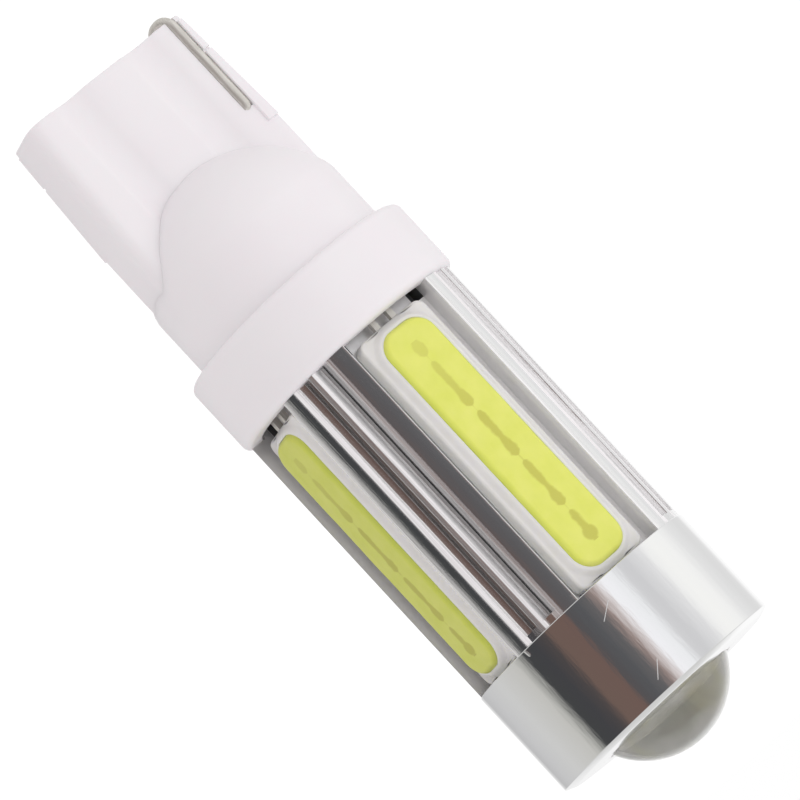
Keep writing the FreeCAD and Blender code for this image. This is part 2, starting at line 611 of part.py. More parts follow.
# One light strip: adhesive, board, dies, phosphor and two leads, made facing -Y and turned to its slot.
die_pitch = f"(({DIES_FRONT} - {DIES_REAR} - sizes.die_length) / (sizes.die_count - 1))"
die_left, die_right = centred("sizes.die_width")
for number in range(STRIPS):
    adhesive = new_body(f"strip_adhesive_{number + 1}")
    adhesive_half_width = f"({BOARD_HALF_WIDTH} - sizes.adhesive_inset)"
    block(adhesive, "adhesive", (f"0 - {adhesive_half_width}", adhesive_half_width),
          (f"(0 - {BOARD_SEAT})", f"(0 - {SLOT_FLOOR})"),
          (f"({BOARD_REAR} + sizes.adhesive_inset)", f"({BOARD_FRONT} - sizes.adhesive_inset)"))

    board = new_body(f"strip_board_{number + 1}")
    plate(board, "board", BOARD_HALF_WIDTH, BOARD_REAR, BOARD_FRONT,
          BOARD_SEAT, "sizes.board_thickness", "sizes.board_corner")

    dies = new_body(f"led_dies_{number + 1}")
    first_die = block(dies, "first_die", (die_left, die_right),
                      (f"(0 - {BOARD_TOP} - sizes.die_height)", f"(0 - {BOARD_TOP})"),
                      (DIES_REAR, f"({DIES_REAR} + sizes.die_length)"))
    row_of_dies = dies.newObject("PartDesign::LinearPattern", "row_of_dies")
    row_of_dies.Originals = [first_die]
    row_of_dies.Direction = (origin_feature(dies, "Z_Axis"), [""])
    row_of_dies.setExpression("Occurrences", "sizes.die_count")
    row_of_dies.setExpression("Length", f"{die_pitch} * (sizes.die_count - 1)")
    dies.Tip = row_of_dies

    phosphor = new_body(f"phosphor_strip_{number + 1}")
    rounded = plate(phosphor, "phosphor", PHOSPHOR_HALF_WIDTH, PHOSPHOR_REAR, PHOSPHOR_FRONT,
                    BOARD_TOP, "sizes.phosphor_height", "sizes.phosphor_corner")

    def crown_edge(edge):
        crown = 0 - value(f"{BOARD_TOP} + sizes.phosphor_height")
        return edge.BoundBox.YMax - crown < value("sizes.phosphor_height") / 2

    dress_edges(phosphor, "Chamfer", "crown", rounded, crown_edge, "sizes.phosphor_edge_chamfer")
    trough_outline = new_sketch(phosphor, "trough_outline", "XZ_Plane",
                                z=f"{BOARD_TOP} + sizes.die_height + sizes.die_clearance")
    trough_half = "(sizes.die_width / 2 + sizes.die_clearance)"
    draw_rectangle(trough_outline, f"0 - {trough_half}", trough_half,
                   f"{DIES_REAR} - sizes.die_clearance", f"{DIES_FRONT} + sizes.die_clearance")
    trough = phosphor.newObject("PartDesign::Pocket", "trough")
    trough.Profile = trough_outline
    trough.setExpression("Length", "sizes.die_height + sizes.die_clearance")

    leads = new_body(f"strip_leads_{number + 1}")
    for side, across in (("left", lead_left), ("right", lead_right)):
        block(leads, f"lead_{side}", (f"{across} - sizes.lead_width / 2", f"{across} + sizes.lead_width / 2"),
              (lead_low, lead_high), (DRIVER_BOARD_TOP, BOARD_REAR))

    for piece in (adhesive, board, dies, phosphor, leads):
        turn_about_axis(piece, number, STRIPS)

# The front light: pad, board, chip, phosphor and lens in the recess of the front face.
thermal_pad = new_body("front_thermal_pad")
pad_radius = f"({FRONT_BOARD_RADIUS} - sizes.thermal_pad_inset)"
cylinder(thermal_pad, "pad_disc", pad_radius, RECESS_FLOOR, FRONT_BOARD_SEAT)
cylinder(thermal_pad, "pad_hole", "sizes.bore_radius", RECESS_FLOOR, FRONT_BOARD_SEAT, cut=True)

front_board = new_body("front_board")
cylinder(front_board, "board_disc", FRONT_BOARD_RADIUS, FRONT_BOARD_SEAT, FRONT_BOARD_TOP)

led_top = f"({FRONT_BOARD_TOP} + sizes.front_led_height)"
front_led = new_body("front_led")
block(front_led, "package", centred("sizes.front_led_width"), centred("sizes.front_led_width"),
      (FRONT_BOARD_TOP, led_top))

front_phosphor = new_body("front_phosphor")
block(front_phosphor, "layer", centred("sizes.front_phosphor_width"), centred("sizes.front_phosphor_width"),
      (led_top, f"({led_top} + sizes.front_phosphor_height)"))

lens = new_body("front_lens")
dome_base = f"({FRONT_FACE} + sizes.lens_step)"
cylinder(lens, "skirt", "sizes.lens_radius", FRONT_BOARD_TOP, dome_base)
cap(lens, "dome", "sizes.lens_radius", "sizes.lens_dome_height", dome_base)
cylinder(lens, "hollow", "sizes.lens_hollow_radius", f"({FRONT_BOARD_TOP} - {OVERCUT})",
         f"({FRONT_BOARD_TOP} + sizes.lens_hollow_depth)", cut=True)

front_lead_left, front_lead_right = centred("sizes.front_lead_spacing")
for number, across in enumerate((front_lead_left, front_lead_right), start=1):
    front_lead = new_body(f"front_lead_{number}")
    cylinder(front_lead, "lead", "sizes.front_lead_diameter / 2", DRIVER_BOARD_TOP, FRONT_BOARD_SEAT,
             x=across)

# The driver: a round board on its ledge, with its parts hanging from the underside in the hollow neck.
driver_board = new_body("driver_board")
cylinder(driver_board, "board_disc", DRIVER_BOARD_RADIUS, "sizes.ledge_height", DRIVER_BOARD_TOP)


def driver_part(label, prefix, across, outward):
    """A part soldered to the driver board's underside, centred at two expressions."""
    body = new_body(label)
    half_length, half_width = f"sizes.{prefix}_length / 2", f"sizes.{prefix}_width / 2"
    block(body, "package", (f"({across} - {half_length})", f"({across} + {half_length})"),
          (f"({outward} - {half_width})", f"({outward} + {half_width})"),
          (f"(sizes.ledge_height - sizes.{prefix}_height)", "sizes.ledge_height"))


# The driver chip lies across the middle, with the rectifier before it and the rest behind it.
chip_reach = "(sizes.driver_chip_width / 2 + sizes.driver_part_gap)"
driver_part("driver_chip", "driver_chip", "0", "0")
driver_part("bridge_rectifier", "rectifier", "0", f"(0 - {chip_reach} - sizes.rectifier_width / 2)")
driver_part("smoothing_capacitor", "capacitor", "0", f"({chip_reach} + sizes.capacitor_width / 2)")
resistor_across = "((sizes.capacitor_length + sizes.resistor_length) / 2 + sizes.driver_part_gap / 2)"
resistor_outward = f"({chip_reach} + sizes.resistor_width / 2)"
driver_part("current_resistor_1", "resistor", f"(0 - {resistor_across})", resistor_outward)
driver_part("current_resistor_2", "resistor", resistor_across, resistor_outward)

recompute()
pieces = [thing for thing in doc.Objects if thing.TypeId == "PartDesign::Body"]
for piece in pieces:
    if piece.Shape.isNull() or not piece.Shape.isValid():
        raise RuntimeError(f"{piece.Label} has no valid shape")
    if piece.Shape.Volume <= 0:
        raise RuntimeError(f"{piece.Label} has no volume")

os.makedirs("parts", exist_ok=True)
for piece in pieces:
    piece.Shape.exportStep(f"parts/{piece.Label}.step")
    print(f"{piece.Label}: {len(piece.Shape.Solids)} solids, {piece.Shape.Volume:.4f} mm3")
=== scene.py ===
import math

import bmesh
import bpy
from mathutils import Matrix, Vector, noise


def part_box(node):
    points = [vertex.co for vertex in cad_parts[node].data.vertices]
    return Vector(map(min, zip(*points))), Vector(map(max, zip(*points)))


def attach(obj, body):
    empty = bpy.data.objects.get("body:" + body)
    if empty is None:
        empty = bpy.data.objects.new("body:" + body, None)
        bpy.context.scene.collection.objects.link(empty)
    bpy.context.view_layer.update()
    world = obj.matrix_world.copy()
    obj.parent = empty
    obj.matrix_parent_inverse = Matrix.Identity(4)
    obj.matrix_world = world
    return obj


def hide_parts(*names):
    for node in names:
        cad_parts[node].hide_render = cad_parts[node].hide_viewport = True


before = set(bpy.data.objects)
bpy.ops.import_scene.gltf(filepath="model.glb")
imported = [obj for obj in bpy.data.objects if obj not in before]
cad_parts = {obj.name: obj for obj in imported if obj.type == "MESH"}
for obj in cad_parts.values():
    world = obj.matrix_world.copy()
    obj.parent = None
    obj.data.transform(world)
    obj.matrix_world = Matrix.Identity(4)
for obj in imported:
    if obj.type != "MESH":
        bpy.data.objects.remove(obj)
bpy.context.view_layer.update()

# The picture is taken from the lens side and a little to the right of the strip that looks along -Y.
# The camera is rolled until the wedge is at the upper left and the lens at the lower right.
# It stands far off with a long lens, so the bulb's sides stay almost parallel.
MM = 0.001
camera_aim = Vector((-0.296, -0.194, 6.605)) * MM
camera_azimuth = math.radians(27.5)
camera_elevation = math.radians(5.654)
camera_roll = math.radians(137.156)
camera_distance = 287.68 * MM
camera_lens = 291.81

scene = bpy.context.scene
scene.view_settings.view_transform = "Standard"
camera_data = bpy.data.cameras.new("camera")
camera_data.lens = camera_lens
camera_data.sensor_width = 36
camera_data.clip_start = 0.01
camera = bpy.data.objects.new("camera", camera_data)
scene.collection.objects.link(camera)
towards_camera = Vector((
    math.sin(camera_azimuth) * math.cos(camera_elevation),
    -math.cos(camera_azimuth) * math.cos(camera_elevation),
    math.sin(camera_elevation),
))
level_right = Vector((0, 0, 1)).cross(towards_camera).normalized()
upright = towards_camera.cross(level_right)
picture_right = level_right * math.cos(camera_roll) + upright * math.sin(camera_roll)
picture_up = upright * math.cos(camera_roll) - level_right * math.sin(camera_roll)
camera_turn = Matrix((picture_right, picture_up, towards_camera)).transposed().to_4x4()
camera.matrix_world = Matrix.Translation(camera_aim + towards_camera * camera_distance) @ camera_turn
scene.camera = camera


# The set is a pale floor well below the blade, a white surround and one wide soft lamp.
# The lamp stands off the strip that looks along -Y, on the side away from the one that looks along +X.
# What polished metal mirrors is the surround: pale paper, a gap with the dark room, and pale paper again.
def add_node(tree, kind, inputs=(), **settings):
    """A shader node whose inputs are set to values or joined to other nodes' outputs."""
    made = tree.nodes.new(f"ShaderNode{kind}")
    for name, setting in settings.items():
        setattr(made, name, setting)
    for socket, source in dict(inputs).items():
        if isinstance(source, bpy.types.NodeSocket):
            tree.links.new(source, made.inputs[socket])
        else:
            made.inputs[socket].default_value = source
    return made


def calculate(tree, operation, *terms, clamp=False):
    """The output of a Math node."""
    return add_node(tree, "Math", enumerate(terms), operation=operation, use_clamp=clamp).outputs[0]


def blend_colours(tree, factor, first, second, blend_type="MIX"):
    """The output of a colour mix, where each colour is a value or another node's output."""
    made = add_node(tree, "Mix", {0: factor}, data_type="RGBA", blend_type=blend_type)
    for socket, source in ((made.inputs[6], first), (made.inputs[7], second)):
        if isinstance(source, bpy.types.NodeSocket):
            tree.links.new(source, socket)
        else:
            socket.default_value = (*source, 1)
    return made.outputs[2]


def screen(red, green, blue):
    """A colour as it looks on a screen, from 0 to 255, as the light that it stands for."""
    def light(level):
        part = level / 255
        return part / 12.92 if part <= 0.04045 else ((part + 0.055) / 1.055) ** 2.4

    return light(red), light(green), light(blue)


def add_ramp(tree, factor, stops):
    """The output of a colour ramp with the stops given as places and colours."""
    made = add_node(tree, "ValToRGB", {"Fac": factor})
    ramp = made.color_ramp
    while len(ramp.elements) < len(stops):
        ramp.elements.new(1.0)
    for element, (place, colour) in zip(ramp.elements, stops):
        element.position = place
        element.color = (*colour, 1)
    return made.outputs["Color"]


# Degrees round the bulb's axis from +X towards +Y, and the colour that metal mirrors from there.
surround = [
    (-180, screen(229, 229, 229)),
    (-165, screen(244, 244, 243)),
    (-150, screen(246, 246, 244)),
    (-141, screen(242, 242, 241)),
    (-133, screen(223, 223, 224)),
    (-117, screen(206, 206, 208)),
    (-109, screen(210, 210, 212)),
    (-102, screen(236, 237, 239)),
    (-90, screen(243, 243, 246)),
    (-84, screen(208, 200, 199)),
    (-77, screen(148, 132, 127)),
    (-71, screen(100, 98, 99)),
    (-61, screen(86, 87, 90)),
    (-51, screen(84, 82, 84)),
    (-46, screen(110, 90, 84)),
    (-28, screen(109, 91, 84)),
    (-22, screen(76, 71, 71)),
    (-11, screen(66, 66, 69)),
    (3, screen(66, 67, 68)),
    (10, screen(164, 164, 160)),
    (18, screen(195, 194, 190)),
    (48, screen(204, 204, 203)),
    (74, screen(198, 198, 199)),
    (92, screen(189, 189, 190)),
    (108, screen(236, 236, 236)),
    (124, screen(254, 254, 254)),
    (138, screen(252, 252, 252)),
    (150, screen(224, 224, 224)),
    (162, screen(221, 221, 221)),
    (180, screen(229, 229, 229)),
]
overhead_low, overhead_high, overhead_light = 0.45, 0.75, screen(208, 208, 207)
ambient_light = (0.81, 0.775, 0.785)
world = bpy.data.worlds.new("studio")
world.use_nodes = True
scene.world = world
tree = world.node_tree
tree.nodes.clear()
direction = add_node(tree, "SeparateXYZ", {0: add_node(tree, "TexCoord").outputs["Generated"]})
bearing = calculate(tree, "ARCTAN2", direction.outputs["Y"], direction.outputs["X"])
round_place = calculate(tree, "MULTIPLY_ADD", bearing, 1 / math.tau, 0.5)
mirrored = add_ramp(tree, round_place, [(degrees / 360 + 0.5, colour) for degrees, colour in surround])
overhead = add_node(tree, "MapRange", {
    "Value": calculate(tree, "ABSOLUTE", direction.outputs["Z"]),
    "From Min": overhead_low,
    "From Max": overhead_high,
}, interpolation_type="SMOOTHSTEP").outputs[0]
mirrored = blend_colours(tree, overhead, mirrored, overhead_light)
rays = add_node(tree, "LightPath")
seen = calculate(tree, "MAXIMUM", rays.outputs["Is Camera Ray"], rays.outputs["Is Transmission Ray"])
sky = blend_colours(tree, rays.outputs["Is Glossy Ray"], ambient_light, mirrored)
sky = blend_colours(tree, seen, sky, (1, 1, 1))
background = add_node(tree, "Background", {"Color": sky})
tree.links.new(background.outputs[0], add_node(tree, "OutputWorld").inputs["Surface"])

lamp_bearing = math.radians(-117)
lamp_height = 0.05
lamp_distance = 0.5
lamp_width = 0.45
lamp_share = 0.25
lamp_data = bpy.data.lights.new("soft_lamp", "AREA")
lamp_data.shape = "DISK"
lamp_data.size = lamp_width
lamp_data.energy = lamp_share * math.pi ** 2 * lamp_distance ** 2
lamp_data.color = (0.97, 0.985, 1.0)
lamp = bpy.data.objects.new("soft_lamp", lamp_data)
lamp_direction = Vector((math.cos(lamp_bearing), math.sin(lamp_bearing), lamp_height)).normalized()
lamp_turn = lamp_direction.to_track_quat("Z", "Y").to_matrix().to_4x4()
lamp.matrix_world = Matrix.Translation(lamp_direction * lamp_distance) @ lamp_turn
lamp.visible_glossy = False
lamp.visible_transmission = False
scene.collection.objects.link(lamp)

floor_drop = 45 * MM
floor_width = 6.0
paper_colour = (0.95, 0.95, 0.95, 1)
glow_strength, glow_share = 1.12, 0.85
floor_mesh = bpy.data.meshes.new("floor")
builder = bmesh.new()
bmesh.ops.create_grid(builder, x_segments=8, y_segments=8, size=floor_width / 2)
bmesh.ops.translate(builder, verts=builder.verts, vec=(0, 0, -floor_drop))
builder.to_mesh(floor_mesh)
builder.free()
floor = bpy.data.objects.new("floor", floor_mesh)
scene.collection.objects.link(floor)
floor_finish = bpy.data.materials.new("floor_paper")
floor_finish.use_nodes = True
tree = floor_finish.node_tree
tree.nodes.clear()
rays = add_node(tree, "LightPath")
matt = add_node(tree, "BsdfDiffuse", {"Color": paper_colour})
white = add_node(tree, "Emission", {"Color": (1, 1, 1, 1), "Strength": glow_strength})
seen = calculate(tree, "MAXIMUM", rays.outputs["Is Camera Ray"], rays.outputs["Is Transmission Ray"])
glowing = calculate(tree, "MULTIPLY", seen, glow_share)
paper = add_node(tree, "MixShader", {0: glowing, 1: matt.outputs[0], 2: white.outputs[0]})
tree.links.new(paper.outputs[0], add_node(tree, "OutputMaterial").inputs["Surface"])
floor_mesh.materials.append(floor_finish)
floor.visible_glossy = False

# The wedge base is one hollow moulding of translucent white plastic: blade, domed neck and collar.
# The heat sink's spigot is pressed into the collar, and the two contact wires come out of the blade's end.
# Its sizes are in millimetres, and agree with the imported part's box.
base_low, base_high = (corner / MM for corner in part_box("wedge_base"))
blade_end, collar_front, collar_radius = base_low.z, base_high.z, base_high.x
rim_round, root_round, seat_round = 0.34, 0.12, 0.08
neck_radius, neck_length, neck_round, dome_height, dome_steps = 5.25, 3.2, 1.2, 4.0, 24
spigot_radius, spigot_seat, cavity_radius, cavity_floor = 5.27, 1.75, 4.25, -3.6
blade_half_width, blade_half_thickness, blade_length = 4.7, 1.3, 11.0
blade_draft, draft_limit, soft_round, end_round = 0.055, 0.35, 0.75, 0.1
rib_half, hollow_width, hollow_depth, arc_steps = 1.1, 2.2, 0.3, 8
wire_radius, channel_radius, channel_depth, channel_length = 0.24, 0.26, 0.3, 5.6
rail_width, rail_height, rail_round, rail_foot = 0.27, 0.14, 0.08, 0.1
rail_low, rail_gap_low, rail_gap_high, rail_high, rail_step = 0.31, 2.05, 2.2, 6.4, 0.01


def new_finish(name, colour, roughness, metallic=0.0, sockets=()):
    """A material with one surface, whose constant sockets are set on the surface itself."""
    finish = bpy.data.materials.new(name)
    finish.use_nodes = True
    surface = finish.node_tree.nodes["Principled BSDF"]
    surface.inputs["Base Color"].default_value = (*colour, 1)
    surface.inputs["Roughness"].default_value = roughness
    surface.inputs["Metallic"].default_value = metallic
    for socket, size in dict(sockets).items():
        surface.inputs[socket].default_value = size
    return finish, finish.node_tree, surface


def add_noise(tree, size, detail=3.0, stretch=(1, 1, 1)):
    """Noise through the bulb, with a grain of a real size that may be drawn out along an axis."""
    place = add_node(tree, "TexCoord").outputs["Object"]
    scaled = add_node(tree, "Mapping", {"Vector": place, "Scale": [1 / (size * part) for part in stretch]})
    grain = add_node(tree, "TexNoise", {"Vector": scaled.outputs[0], "Scale": 1.0, "Detail": detail})
    return grain.outputs["Fac"]


def add_bump(tree, surface, height, depth):
    """Raise the surface where a pattern is light, to a real depth."""
    bump = add_node(tree, "Bump", {"Height": height, "Distance": depth})
    tree.links.new(bump.outputs[0], surface.inputs["Normal"])


plastic, tree, surface = new_finish("white_plastic", (0.93, 0.915, 0.93), 0.42, sockets={
    "Subsurface Weight": 0.15,
    "Subsurface Radius": (1.0, 0.75, 0.8),
    "Subsurface Scale": 0.4 * MM,
    "IOR": 1.5,
})
cloud = add_noise(tree, 3.5 * MM)
tint = add_ramp(tree, cloud, [(0.35, (0.93, 0.905, 0.925)), (0.65, (0.935, 0.92, 0.935))])
tree.links.new(tint, surface.inputs["Base Color"])
add_bump(tree, surface, add_noise(tree, 0.25 * MM), 0.004 * MM)


def round_off(corners, closed=True, step=12):
    """The points of an outline whose corners, each an x, a y and a radius in millimetres, are rounded."""
    points = []
    for index, (x, y, radius) in enumerate(corners):
        corner = Vector((x, y))
        at_end = not closed and index in (0, len(corners) - 1)
        if at_end or not radius:
            points.append(corner)
            continue
        before = (Vector(corners[index - 1][:2]) - corner).normalized()
        after = (Vector(corners[(index + 1) % len(corners)][:2]) - corner).normalized()
        half = before.angle(after) / 2
        centre = corner + (before + after).normalized() * radius / math.sin(half)
        first = corner + before * radius / math.tan(half) - centre
        last = corner + after * radius / math.tan(half) - centre
        swing = first.angle_signed(last)
        count = max(2, math.ceil(abs(math.degrees(swing)) / step - 0.01))
        points += [centre + Matrix.Rotation(-swing * part / count, 2) @ first for part in range(count + 1)]
    return points


def turn_profile(builder, profile, steps=240):
    """Turn a closed profile, of radius and place along the axis in millimetres, round the bulb's axis."""
    angles = [math.tau * step / steps for step in range(steps)]
    rings = []
    for radius, along in profile:
        if radius < 1e-6:
            rings.append([builder.verts.new(Vector((0, 0, along)) * MM)] * steps)
            continue
        places = [Vector((radius * math.cos(a), radius * math.sin(a), along)) for a in angles]
        rings.append([builder.verts.new(place * MM) for place in places])
    for ring, following in zip(rings, rings[1:] + rings[:1]):
        for step in range(steps):
            loop = [ring[step], ring[step - 1], following[step - 1], following[step]]
            loop = list(dict.fromkeys(loop))
            if len(loop) > 2:
                builder.faces.new(loop)


def stack_outlines(builder, levels):
    """Join outlines of like count, each given with its place along the axis, into one closed form."""
    rings = []
    for outline, along in levels:
        rings.append([builder.verts.new(Vector((*point, along)) * MM) for point in outline])
    for ring, following in zip(rings, rings[1:]):
        for step in range(len(ring)):
            builder.faces.new([ring[step - 1], ring[step], following[step], following[step - 1]])
    builder.faces.new(rings[0])
    builder.faces.new(rings[-1])


def new_piece(name, builder, finish, replaced, crease=30.0):
    """A finished piece that rides on the bulb in the place of the parts that it replaces."""
    bmesh.ops.recalc_face_normals(builder, faces=builder.faces)
    mesh = bpy.data.meshes.new(name)
    builder.to_mesh(mesh)
    builder.free()
    mesh.polygons.foreach_set("use_smooth", [True] * len(mesh.polygons))
    mesh.set_sharp_from_angle(angle=math.radians(crease))
    mesh.materials.append(finish)
    piece = bpy.data.objects.new(name, mesh)
    scene.collection.objects.link(piece)
    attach(piece, "root")
    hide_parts(*replaced)


dome_sphere = (neck_radius ** 2 + dome_height ** 2) / (2 * dome_height)
dome_tip = -neck_length - dome_height
profile = []
for step in range(dome_steps):
    lean = math.asin(neck_radius / dome_sphere) * step / dome_steps
    profile.append((dome_sphere * math.sin(lean), dome_tip + dome_sphere * (1 - math.cos(lean)), 0))
profile += [
    (neck_radius, -neck_length, neck_round),
    (neck_radius, 0, root_round),
    (collar_radius, 0, rim_round),
    (collar_radius, collar_front, rim_round),
    (spigot_radius, collar_front, seat_round),
    (spigot_radius, spigot_seat, 0),
    (cavity_radius, spigot_seat, 0),
    (cavity_radius, cavity_floor, 0),
    (0, cavity_floor, 0),
]
moulding = bmesh.new()
turn_profile(moulding, round_off(profile))

rail_inner = blade_half_width - rail_width
run_across = rail_inner - channel_radius
run_out = blade_half_thickness - channel_depth + wire_radius
run_length = channel_length - wire_radius


def blade_outline(along, channel, rail, shrink=0.0):
    """The blade's outline at a place along it, wider by a slight draft towards the dome.

    On each face two shallow hollows lie beside a rib, and a rail stands beside the channel for the wire.
    """
    edge = blade_half_width + min(blade_draft * along, draft_limit) - shrink
    face = -blade_half_thickness + shrink
    half = [(edge, face, soft_round)]
    for side in (1, -1):
        middle = side * (rib_half + hollow_width / 2)
        for part in range(arc_steps + 1):
            place = 1 - 2 * part / arc_steps
            half.append((middle + place * hollow_width / 2, face + hollow_depth * (1 - place * place), 0))
    dip = (run_out - blade_half_thickness) / channel_radius
    for part in range(arc_steps + 1):
        angle = math.acos(dip) * (1 - 2 * part / arc_steps)
        across = -run_across + channel_radius * math.sin(angle)
        inward = -run_out + channel_radius * math.cos(angle) if channel else -blade_half_thickness
        half.append((across, inward + shrink, 0))
    top = face - rail_height if rail else face
    foot = face - rail_foot if rail else face
    half += [
        (-rail_inner - rail_step, foot, 0),
        (-rail_inner - 5 * rail_step, top, 0),
        (-edge + rail_round, top, 0),
        (-edge + rail_round / 4, top + rail_round / 4, 0),
        (-edge, top + rail_round, 0),
    ]
    return round_off(half + [(-x, -y, radius) for x, y, radius in half])


levels = []
for along, shrink in ((0.0, end_round), (end_round * 0.3, end_round * 0.3)):
    levels.append((blade_outline(0.0, True, False, shrink), blade_end + along))
for along, channel, rail in (
    (end_round, True, False),
    (rail_low - rail_step, True, False),
    (rail_low, True, True),
    (rail_gap_low, True, True),
    (rail_gap_low + rail_step, True, False),
    (rail_gap_high - rail_step, True, False),
    (rail_gap_high, True, True),
    (run_length, True, True),
    (run_length + rail_step, False, True),
    (rail_high, False, True),
    (rail_high + rail_step, False, False),
    (blade_length, False, False),
):
    levels.append((blade_outline(along, channel, rail), blade_end + along))
stack_outlines(moulding, levels)
new_piece("wedge_base_moulding", moulding, plastic, ["wedge_base"])

# The contact wires are round tinned copper. They come out of holes in the blade's end,
# are folded back over its broad faces and lie in their channels, with the tips bent inwards.
# The second one is drawn tighter over the end, where it doesn't show past the blade's far corner.
tinned, tree, surface = new_finish("tinned_wire", (0.8, 0.78, 0.73), 0.42, metallic=0.6)
drawn = add_noise(tree, 0.08 * MM, stretch=(1, 1, 12))
tint = add_ramp(tree, drawn, [(0.3, (0.7, 0.68, 0.62)), (0.7, (0.85, 0.83, 0.78))])
tree.links.new(tint, surface.inputs["Base Color"])
add_bump(tree, surface, drawn, 0.004 * MM)


def bend_wire(name, path, radius, turned, replaced):
    """A round wire along a path of points in millimetres, turned about the bulb's axis."""
    curve = bpy.data.curves.new(name, "CURVE")
    curve.dimensions = "3D"
    curve.bevel_depth = radius * MM
    curve.bevel_resolution = 5
    curve.use_fill_caps = True
    line = curve.splines.new("POLY")
    line.points.add(len(path) - 1)
    spin = Matrix.Rotation(turned, 3, "Z")
    for point, place in zip(line.points, path):
        point.co = (*(spin @ place * MM), 1)
    line.use_smooth = True
    curve.materials.append(tinned)
    wire = bpy.data.objects.new(name, curve)
    scene.collection.objects.link(wire)
    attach(wire, "root")
    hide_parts(*replaced)


hole_across = blade_half_width - 1.1
wire_start, loop_bend, tip_bend, tip_length = 0.2, 0.6, 0.3, 0.55
loop_width = math.hypot(run_across - hole_across, run_out)
loop_across = Vector((-(run_across - hole_across), -run_out, 0)) / loop_width
wire_tip = blade_end + run_length
for number, overhang in ((1, 0.45), (2, 0.2)):
    loop_low = blade_end - overhang + wire_radius
    loop_points = round_off([
        (0, wire_start, 0),
        (0, loop_low, loop_bend),
        (loop_width, loop_low, loop_bend),
        (loop_width, wire_tip, tip_bend),
        (loop_width - tip_length, wire_tip, 0),
    ], closed=False)
    loop_path = [Vector((-hole_across, 0, 0)) + loop_across * x + Vector((0, 0, y)) for x, y in loop_points]
    half_turns = number - 1
    bend_wire(f"contact_wire_{number}_bent", loop_path, wire_radius, math.pi * half_turns,
              [f"contact_wire_{number}"])


# The driver is a round green fibreglass board on the ledge inside the collar.
# Its chip, rectifier and resistors are moulded black packages and its capacitor is tan ceramic.
# They are soldered to the board's underside, out of sight in the hollow neck.
def dress(node, finish):
    """Give a carried-over part its finish."""
    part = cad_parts[node]
    part.data.materials.clear()
    part.data.materials.append(finish)


laminate, tree, surface = new_finish("green_board", (0.03, 0.16, 0.06), 0.35)
tint = add_ramp(tree, add_noise(tree, 0.4 * MM), [(0.4, (0.02, 0.13, 0.05)), (0.6, (0.04, 0.2, 0.08))])
tree.links.new(tint, surface.inputs["Base Color"])
dress("driver_board", laminate)
moulded, tree, surface = new_finish("black_package", (0.02, 0.02, 0.022), 0.5)
add_bump(tree, surface, add_noise(tree, 0.05 * MM), 0.01 * MM)
for node in ("driver_chip", "bridge_rectifier", "current_resistor_1", "current_resistor_2"):
    dress(node, moulded)
ceramic, tree, surface = new_finish("tan_ceramic", (0.45, 0.3, 0.17), 0.4)
add_bump(tree, surface, add_noise(tree, 0.08 * MM), 0.01 * MM)
dress("smoothing_capacitor", ceramic)

# The heat sink is turned from bright aluminium bar, then slotted, grooved and bored in one piece.
# Its front collar is polished to a mirror. The corners behind it keep fine lines along the bulb.
# Its spigot is pressed into the wedge base's collar. The sizes are in millimetres.
sink_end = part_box("heat_sink")[0].z / MM
corner_radius, collar_rear, front_face, front_radius = 5.95, 18.8, 24.3, 6.02
slot_half, slot_floor, notch_width, notch_depth, notch_end = 2.6, 4.15, 0.65, 0.9, collar_front + 0.45
land_half, groove_width, step_width, groove_depth, step_depth = 0.2, 0.7, 0.35, 0.3, 0.4
groove_end, inner_radius = collar_rear - 0.35, 5.25
edge_round, cut_round, slot_round, notch_round = 0.03, 0.05, 0.06, 0.02
lens_socket, recess_floor, bore_radius = 3.5, front_face - 2.3, 1.8
bevel_places, bevel_round, lip_rise, lip_round = ((0.5, 0.2), (1.5, 0.3)), 0.5, 0.28, 0.06
# The three losses after the bare level are painted shade: in the grooves of the corner beside +X, in the
# notch openings and on the slot's wall away from the lamp.
bare_level, groove_shade_loss, notch_shade_loss, wall_shade_loss, mottle = 0.97, 0.9, 0.8, 0.36, 0.9
bare_rough, satin_rough, slot_rough, land_rough, groove_rough = 0.055, 0.35, 0.25, 0.14, 0.15


def bulb_place(tree):
    """The place in millimetres in the bulb's own frame."""
    return add_node(tree, "Mapping", {
        "Vector": add_node(tree, "TexCoord").outputs["Object"],
        "Scale": (1 / MM, 1 / MM, 1 / MM),
    }).outputs[0]


def along_axes(tree, place):
    """A place's parts along X, Y and Z."""
    parts = add_node(tree, "SeparateXYZ", {0: place})
    return [parts.outputs[axis] for axis in "XYZ"]


def above(tree, value, limit):
    """One where a value is above a limit, and nothing elsewhere."""
    return calculate(tree, "GREATER_THAN", value, limit)


def below(tree, value, limit):
    """One where a value is below a limit, and nothing elsewhere."""
    return calculate(tree, "LESS_THAN", value, limit)


def scaled_sum(tree, value, scale, start):
    """A value times a scale, added to a start."""
    return calculate(tree, "MULTIPLY_ADD", value, scale, start)


def share_of(tree, value, low, high):
    """How far a value has come from one limit to another, from nothing to one."""
    return add_node(tree, "MapRange", {"Value": value, "From Min": low, "From Max": high}).outputs[0]


def times(tree, first, second):
    """The product of two values."""
    return calculate(tree, "MULTIPLY", first, second)


def add_steps(tree, value, low, high, stops):
    """A ramp over a value between two limits, whose stops are given as values and levels."""
    places = [((at - low) / (high - low), (level, level, level)) for at, level in stops]
    return add_ramp(tree, share_of(tree, value, low, high), places)


